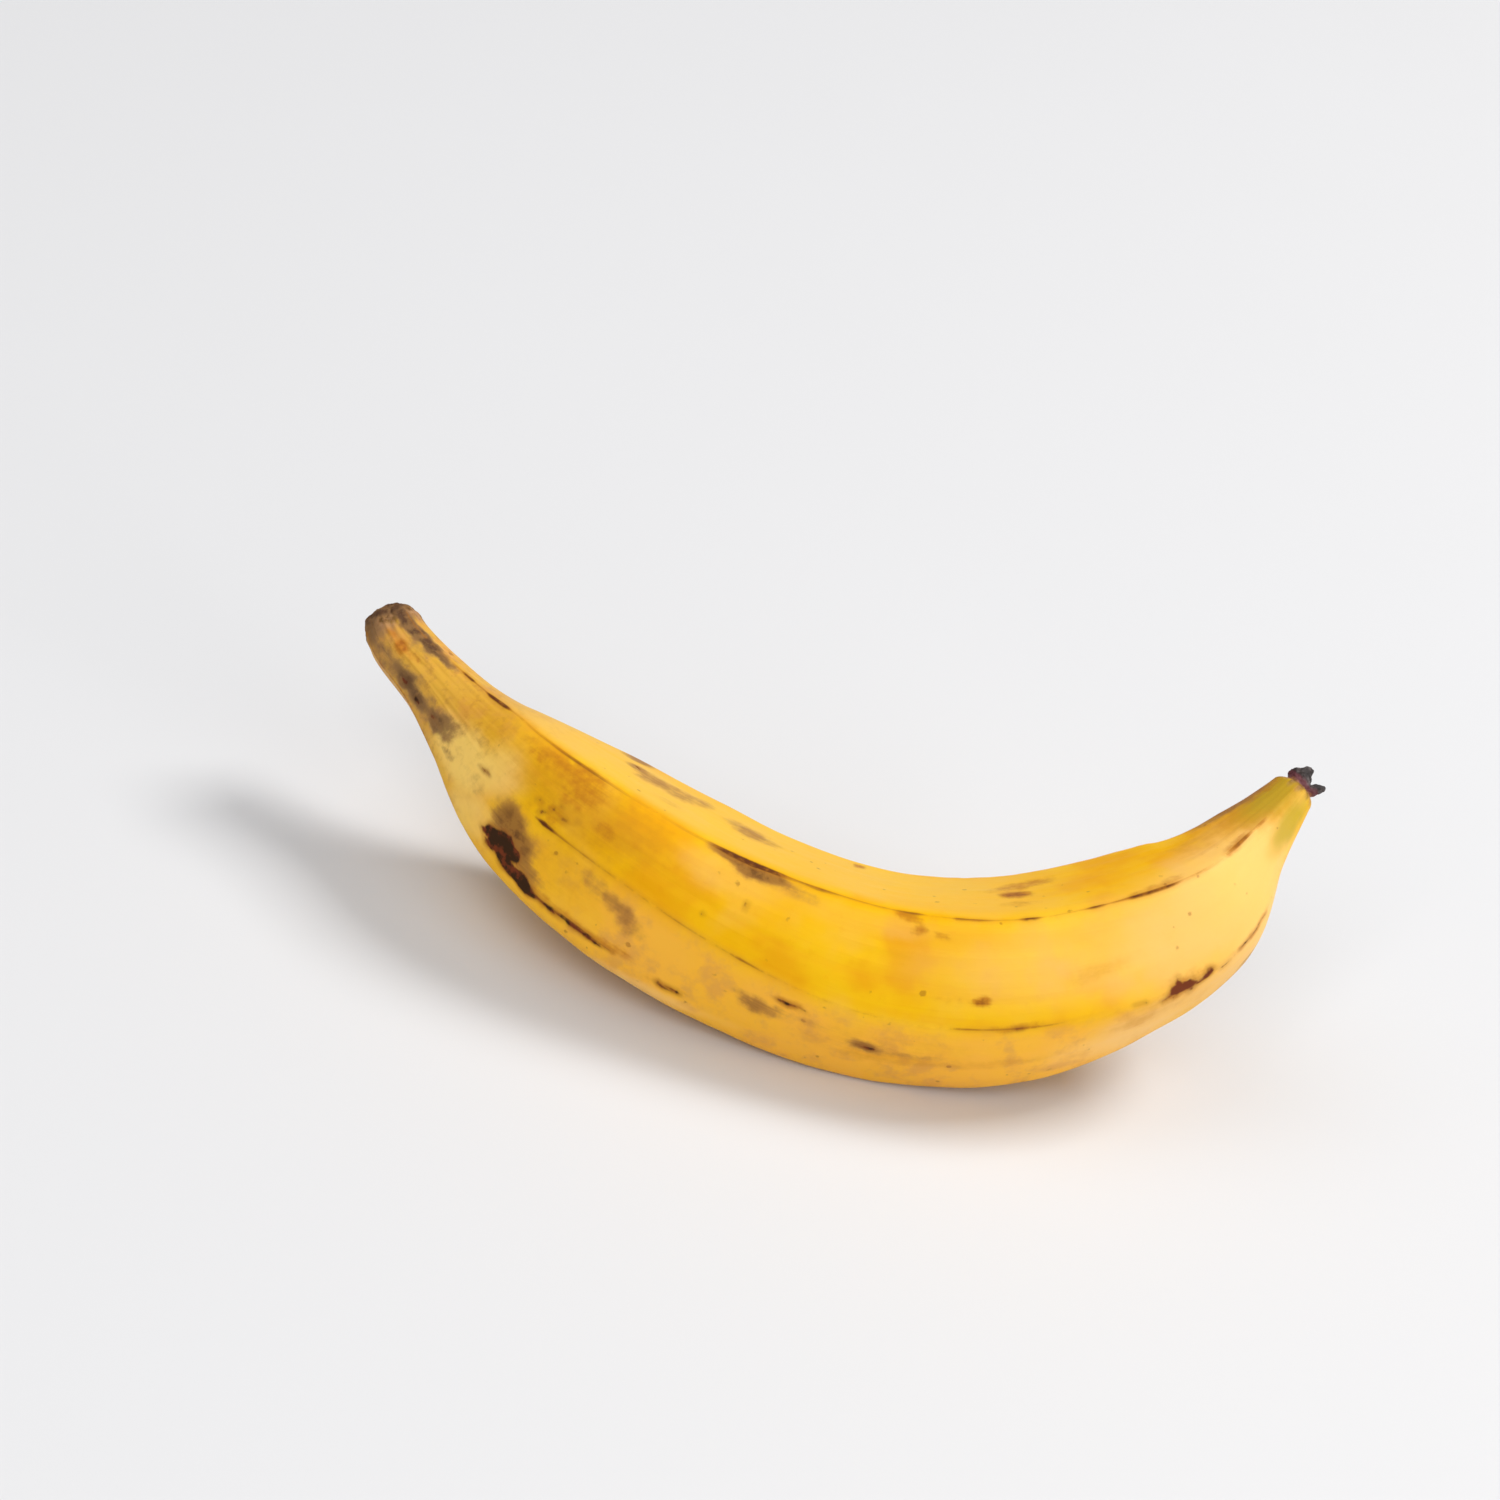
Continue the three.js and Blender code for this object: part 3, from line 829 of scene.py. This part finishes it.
peelColours = {
    "golden": tint(246, 184, 0),
    "bright": tint(250, 194, 12),
    # painted light on the upward facet
    "strawPaintedLight": tint(242, 190, 66),
    # browner yellow, and the painted shade just below the upper edge
    "flushAndShade": tint(206, 138, 24),
    "amber": tint(230, 144, 2),
    # creamy peel, and the painted sheen on the right end
    "creamAndSheen": tint(252, 200, 116),
    "neckCream": tint(255, 212, 112),
    "tan": tint(208, 158, 72),
    "ochre": tint(250, 184, 60),
    "dusty": tint(214, 150, 78),
    "olive": tint(178, 154, 40),
    "rust": tint(184, 104, 20),
    "halo": tint(158, 92, 28),
    "rustCore": tint(124, 56, 20),
    "bruise": tint(176, 120, 58),
    "bruiseCore": tint(96, 58, 30),
    "dusk": tint(150, 112, 72),
    "mauve": tint(88, 60, 42),
    "line": tint(172, 106, 22),
    "lineCore": tint(92, 46, 18),
    "scar": tint(56, 32, 16),
    "scarBrown": tint(116, 52, 27),
    "dry": tint(170, 128, 92),
    "dryDark": tint(80, 50, 32),
}

# Noise patterns: (scale, detail, roughness). Bands and fibres run lengthwise, by the millimetre.
peelPatterns = {
    "broad": (30, 2, 0.5),
    "blotches": (130, 4, 0.6),
    "clouds": (55, 3, 0.5),
    "mottle": (420, 4, 0.6),
    "bands": (0.22, 3, 0.5),
    "fibres": (1.0, 4, 0.6),
    "lengthwise": (0.06, 1.0, 1.0),  # how far those two are drawn out
    "freckleScale": 210,
}

# Layers of colour: (the value at which it starts, at which it is full, how strong it then is).
peelLayers = {
    "bright": (0.35, 0.65, 1),
    "amberClouds": (0.48, 0.66, 0.45),
    "paleClouds": (0.5, 0.32, 0.15),
    "amberMottle": (0.52, 0.8, 0.16),
    "amberBands": (0.5, 0.66, 0.14),
    "amberFibres": (0.52, 0.75, 0.09),
    "bandClouds": (0.35, 0.6, 0.4),
    "creamAndSheen": (0.0, 1.0, 0.9),
    "dusty": (0.46, 0.68, 0.55),
    "neckMottle": (0.48, 0.68, 0.42),
    "flushAndShade": (0.0, 1.0, 0.8),
    "rust": (0.05, 0.95, 0.75),
    "rustCore": (0.75, 1.25, 0.85),
    "dry": (0.15, 0.85, 0.9),
    "freckles": (0.08, -0.02, 0.45),
    "bruise": (0.0, 0.95, 0.85),
    "streakHalo": (1.3, -0.3, 0.35),
}


def ripePeel():
    paint = Paint("ripePeel")
    colours, patterns, layers = peelColours, peelPatterns, peelLayers
    place = paint.node("ShaderNodeTexCoord", {}, {}, "Object")
    drawn = paint.attribute("drawn", "Vector")
    lengthwise = paint.stretch(drawn, patterns["lengthwise"])
    broad = paint.noise(place, *patterns["broad"])
    blotches = paint.noise(place, *patterns["blotches"])
    clouds = paint.noise(place, *patterns["clouds"])
    mottle = paint.noise(place, *patterns["mottle"])
    bands = paint.noise(lengthwise, *patterns["bands"])
    fibres = paint.noise(lengthwise, *patterns["fibres"])
    neck = paint.attribute("neck")
    offNeck = 1 - neck
    ragged = (blotches - 0.5) * 1.2 + (mottle - 0.5) * 1.6 + (fibres - 0.5) * offNeck * 0.8

    # Ground colour, deep golden to bright, with faint bands and fibres running lengthwise.
    colour = paint.layer(colours["golden"], colours["bright"], broad, layers["bright"])
    colour = paint.layer(colour, colours["amber"], clouds, layers["amberClouds"])
    colour = paint.layer(colour, colours["creamAndSheen"], clouds, layers["paleClouds"])
    colour = paint.layer(colour, colours["amber"], mottle, layers["amberMottle"])
    colour = paint.layer(colour, colours["amber"], bands, layers["amberBands"], offNeck)
    colour = paint.layer(colour, colours["amber"], fibres, layers["amberFibres"], offNeck)

    # Painted light: a paler straw band on the upward facet. Ochre band below, tan neck, creamy areas
    # that on the right end are partly painted sheen, olive flushes, and brown flushes that are
    # painted shade just below the upper edge.
    bandClouds = paint.strength(clouds, layers["bandClouds"])
    upperPaintedLight = paint.attribute("upperPaintedLight")
    colour = paint.blend(upperPaintedLight * (0.5 + bandClouds), colour, colours["strawPaintedLight"])
    lowerBand = paint.attribute("lowerBand")
    colour = paint.blend(lowerBand * (0.6 + bandClouds), colour, colours["ochre"])
    colour = paint.blend(neck * (clouds * 0.9 + 0.25), colour, colours["tan"])
    # Creamy areas; on the right end they are partly painted sheen.
    creamAndSheen = paint.frayed(paint.attribute("creamAndSheen"), clouds - 0.5, 0.9)
    creamTone = paint.blend(paint.rise(neck, 0.0, 0.3), colours["creamAndSheen"], colours["neckCream"])
    colour = paint.layer(colour, creamTone, creamAndSheen, layers["creamAndSheen"])
    creamy = paint.rise(creamAndSheen, 0.2, 0.9)
    worn = (lowerBand + neck * 1.2) * (1 - creamy * 0.85)
    colour = paint.layer(colour, colours["dusty"], blotches, layers["dusty"], worn)
    wornNeck = neck * (1 - creamy * 0.4)
    colour = paint.layer(colour, colours["bruise"], mottle, layers["neckMottle"], wornNeck)
    # Flushes: browner yellow, and painted shade just below the upper edge.
    flushAndShade = paint.frayed(paint.attribute("flushAndShade"), ragged, 0.3)
    colour = paint.layer(colour, colours["flushAndShade"], flushAndShade, layers["flushAndShade"])
    colour = paint.blend(paint.attribute("olive"), colour, colours["olive"])

    rust = paint.frayed(paint.attribute("rust"), ragged, 0.55)
    colour = paint.layer(colour, colours["rust"], rust, layers["rust"])
    colour = paint.layer(colour, colours["rustCore"], rust, layers["rustCore"])

    # The dried ends, darkest on the stalk's cut face.
    dry = paint.attribute("dry")
    dryMottle = mottle + (blotches - 0.5) * 1.2 - paint.rise(dry, 1.0, 1.6) * 0.2
    dryTone = paint.blend(paint.rise(dryMottle, 0.36, 0.66), colours["dryDark"], colours["dry"])
    colour = paint.layer(colour, dryTone, dry + ragged * 0.3, layers["dry"])

    # Small freckles, here and there.
    freckleSockets = {"Vector": place, "Scale": patterns["freckleScale"]}
    freckles = paint.node("ShaderNodeTexVoronoi", {}, freckleSockets, "Distance")
    freckles = freckles + (0.5 - blotches) * 0.9 + (0.5 - mottle) * 0.3
    colour = paint.layer(colour, colours["rustCore"], freckles, layers["freckles"])

    # Bruises, greyer on the neck, each with a darker middle.
    bruise = paint.frayed(paint.attribute("smudges"), ragged, 0.45 + neck * 0.3)
    bruiseRim = paint.blend(neck, colours["bruise"], colours["dusk"])
    colour = paint.layer(colour, bruiseRim, bruise, layers["bruise"])
    bruiseCore = paint.blend(neck, colours["bruiseCore"], colours["mauve"])
    coreDepth = 0.4 + paint.rise(mottle + (blotches - 0.5) * 1.1, 0.62, 0.34) * 0.6
    colour = paint.blend(paint.rise(bruise, 0.45, 1.2) * coreDepth, colour, bruiseCore)

    # Thin streaks on the edges: brown where weak, nearly black where strong.
    streakDark = paint.attribute("streakDark") + (fibres - 0.5) * 0.6 + (mottle - 0.5) * 1.2
    streakRim = paint.attribute("streakRim") + ragged * 0.35
    colour = paint.layer(colour, colours["line"], streakRim, layers["streakHalo"], streakDark)
    streak = paint.rise(streakRim, 0.25, -0.3)
    colour = paint.blend(streak * paint.rise(streakDark, 0.1, 0.7), colour, colours["line"])
    colour = paint.blend(streak * paint.rise(streakDark, 0.6, 1.1), colour, colours["lineCore"])

    # Scars: a brown halo round a blackened middle.
    scarRim = paint.attribute("scarRim") + ragged * 0.6
    scarDark = paint.attribute("scarDark")
    halo = paint.rise(scarRim, 1.4, -0.3) * scarDark * (0.6 - neck * 0.5)
    colour = paint.blend(halo, colour, colours["halo"])
    scar = paint.rise(scarRim, 0.3, -0.4) * paint.rise(scarDark, 0.0, 0.7)
    blackness = scarDark + (0.5 - mottle) * 1.6 + (0.5 - blotches) * 1.2 - scarRim * 0.12
    blackness = paint.rise(blackness, 0.8, 1.15)
    scarTone = paint.blend(blackness, colours["scarBrown"], colours["scar"])
    colour = paint.blend(scar, colour, scarTone)

    roughness = (mottle - 0.5) * 0.14 + scar * 0.25 + dry * 0.3 + streak * 0.1 + 0.48
    grain = mottle * 0.4 + fibres * offNeck * 0.45 - scar * 0.6 - streak * 0.3
    return paint.finish({
        "Base Color": colour,
        "Roughness": roughness,
        "Normal": paint.bump(grain, 0.35),
        "Specular IOR Level": 0.16,
        "Specular Tint": (1.0, 0.88, 0.55, 1.0),
        "Subsurface Weight": 0.08,
        "Subsurface Radius": (1.0, 0.5, 0.15),
        "Subsurface Scale": 0.003,
    })


# Dried rest of the flower at the blossom end: a shrunken cup and, beside it, a withered lobe.
flower = {
    # Rings: (ahead, to the hollow side, radius, how far the ring leans to the hollow side).
    "stub": [
        (-1.4, 0.2, 3.1, 0), (0.1, 0.3, 3.1, 8), (1.0, 0.6, 2.8, 18), (1.8, 0.9, 2.7, 30),
        (2.4, 1.3, 3.0, 40), (2.8, 1.6, 3.1, 44), (3.3, 2.1, 2.9, 46), (3.4, 2.2, 2.0, 46),
        (3.1, 1.8, 1.3, 44), (3.0, 1.7, 0.6, 44),
    ],
    "lobe": [
        (-1.4, -2.2, 1.3, 0), (0.2, -2.9, 1.5, 0), (1.3, -3.5, 1.4, 0), (2.3, -4.0, 1.7, 6),
        (3.0, -4.3, 1.4, 14), (3.5, -4.3, 0.8, 20),
    ],
    "stubSides": 14,
    "lobeSides": 10,
    "stubCrinkle": 0.38,
    "lobeCrinkle": 0.304,
    "crinkleSize": 1.5,
}


def fromTip(points):
    # From (ahead, hollow, across) at the blossom end to the plane of the bend.
    ahead, hollow = directionsAt(np.array([float(fruitLength)]))
    tip = middleAt(fruitLength)[0, :2]
    inPlane = tip + points[:, :1] * ahead + points[:, 1:2] * hollow
    return np.column_stack([inPlane, points[:, 2]])


def drawOutFlower(name, rings, vertices):
    # Built at the origin, +X ahead and +Y to the hollow side: a ring is extruded on and leaned.
    first = rings[0]
    bpy.ops.object.select_all(action="DESELECT")
    bpy.ops.mesh.primitive_circle_add(
        vertices=vertices,
        radius=first[2] * mm,
        fill_type="NGON",
        location=(first[0] * mm, first[1] * mm, 0),
        rotation=(0, math.pi / 2, math.radians(first[3])),
    )
    piece = bpy.context.object
    piece.name = name
    bpy.ops.object.transform_apply(location=True, rotation=True, scale=True)
    bpy.ops.object.mode_set(mode="EDIT")
    bpy.ops.mesh.select_mode(type="EDGE")
    bpy.ops.mesh.select_all(action="SELECT")
    for before, ring in zip(rings, rings[1:]):
        step = ((ring[0] - before[0]) * mm, (ring[1] - before[1]) * mm, 0)
        place = (ring[0] * mm, ring[1] * mm, 0)
        swell = ring[2] / before[2]
        lean = math.radians(before[3] - ring[3])
        bpy.ops.mesh.extrude_edges_move(TRANSFORM_OT_translate={"value": step})
        bpy.ops.transform.rotate(value=lean, orient_axis="Z", orient_type="GLOBAL", center_override=place)
        bpy.ops.transform.resize(value=(swell, swell, swell), center_override=place)
    bpy.ops.mesh.edge_face_add()
    bpy.ops.object.mode_set(mode="OBJECT")
    return piece


def finishDried(piece, seed, crinkle):
    bpy.ops.object.mode_set(mode="EDIT")
    bpy.ops.mesh.select_all(action="SELECT")
    bpy.ops.mesh.remove_doubles(threshold=0.01 * mm)
    bpy.ops.object.mode_set(mode="OBJECT")
    faceOutwards()
    roundOff(piece, 3)
    points = meshPoints(piece)
    height = crinkle * unevenness(points, flower["crinkleSize"], seed, 3)
    points += meshNormals(piece) * height[:, None]
    piece.data.attributes.new("ahead", "FLOAT", "POINT").data.foreach_set("value", points[:, 0].copy())
    putPoints(piece, layDown(fromTip(points)))
    faceOutwards()
    selectOnly(piece)
    bpy.ops.object.shade_smooth()


def makeFlower():
    stub = drawOutFlower("flowerStub", flower["stub"], flower["stubSides"])
    finishDried(stub, 11, flower["stubCrinkle"])
    lobe = drawOutFlower("flowerLobe", flower["lobe"], flower["lobeSides"])
    finishDried(lobe, 13, flower["lobeCrinkle"])
    print("flower made")
    return stub, lobe


flowerColours = {
    "black": tint(46, 37, 36),
    "grey": tint(116, 104, 102),
    "maroon": tint(104, 38, 48),
    "tan": tint(176, 122, 74),
}

flowerPatterns = {"coarse": (420, 4, 0.6), "fine": (1600, 3, 0.6)}

# Maroon and tan show near the fruit, by the distance ahead of its tip in millimetres.
flowerLayers = {
    "grey": (0.5, 0.7, 0.7),
    "maroon": (2.0, 0.8, 0.75),
    "tan": (0.2, -0.8, 0.7),
}


def witheredFlower():
    paint = Paint("witheredFlower")
    colours, layers = flowerColours, flowerLayers
    place = paint.node("ShaderNodeTexCoord", {}, {}, "Object")
    coarse = paint.noise(place, *flowerPatterns["coarse"])
    fine = paint.noise(place, *flowerPatterns["fine"])
    ahead = paint.attribute("ahead") + (coarse - 0.5) * 3
    colour = paint.layer(colours["black"], colours["grey"], coarse, layers["grey"])
    colour = paint.layer(colour, colours["maroon"], ahead, layers["maroon"])
    colour = paint.layer(colour, colours["tan"], ahead, layers["tan"])
    normal = paint.bump(coarse * 0.6 + fine * 0.4, 0.5)
    return paint.finish({"Base Color": colour, "Roughness": 0.58 + fine * 0.2, "Normal": normal})


def onFruit(piece, look):
    piece.data.materials.append(look)
    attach(piece, "root")
    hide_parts("plantain")


studio = {
    "table": tint(221, 221, 223),
    "tableCloudy": tint(207, 210, 215),
    "tableWide": 9,  # in metres, as the lamps' places and sizes are
    "air": (0.97, 0.98, 1.0, 1.0),
    "airStrength": 0.2,
    "lamps": [
        {"place": (1.6, 1.1, 2.4), "size": 1.1, "power": 67, "colour": (1.0, 0.99, 0.97)},
        {"place": (2.4, -1.5, 0.8), "size": 1.6, "power": 25, "colour": (1.0, 0.99, 0.97)},
        {"place": (-1.4, 0.4, 2.8), "size": 2.4, "power": 22, "colour": (0.98, 0.99, 1.0)},
        {"place": (-0.4, -2.0, 2.2), "size": 2.0, "power": 36.5, "colour": (1.0, 1.0, 0.99)},
    ],
}


def makeStudio():
    paint = Paint("paleTable")
    place = paint.node("ShaderNodeTexCoord", {}, {}, "Object")
    grain = paint.noise(place, 9, 3, 0.5)
    colour = paint.blend(grain * 0.06, studio["table"], studio["tableCloudy"])
    table = paint.finish({"Base Color": colour, "Roughness": 0.55 + grain * 0.1})
    bpy.ops.object.select_all(action="DESELECT")
    bpy.ops.mesh.primitive_plane_add(size=studio["tableWide"], location=(0, 0, 0))
    floor = bpy.context.object
    floor.name = "table"
    floor.data.materials.append(table)
    for lamp in studio["lamps"]:
        aim = Vector(lamp["place"]).to_track_quat("Z", "Y").to_euler()
        bpy.ops.object.light_add(type="AREA", location=lamp["place"], rotation=aim)
        light = bpy.context.object.data
        light.size = lamp["size"]
        light.energy = lamp["power"]
        light.color = lamp["colour"]
    world = bpy.data.worlds.new("air")
    world.use_nodes = True
    sky = world.node_tree.nodes["Background"]
    sky.inputs["Color"].default_value = studio["air"]
    sky.inputs["Strength"].default_value = studio["airStrength"]
    bpy.context.scene.world = world
    bpy.context.scene.view_settings.view_transform = "Standard"
    print("studio lit")


setCamera()
makeStudio()
onFruit(makeFruit(), ripePeel())
withered = witheredFlower()
for piece in makeFlower():
    onFruit(piece, withered)
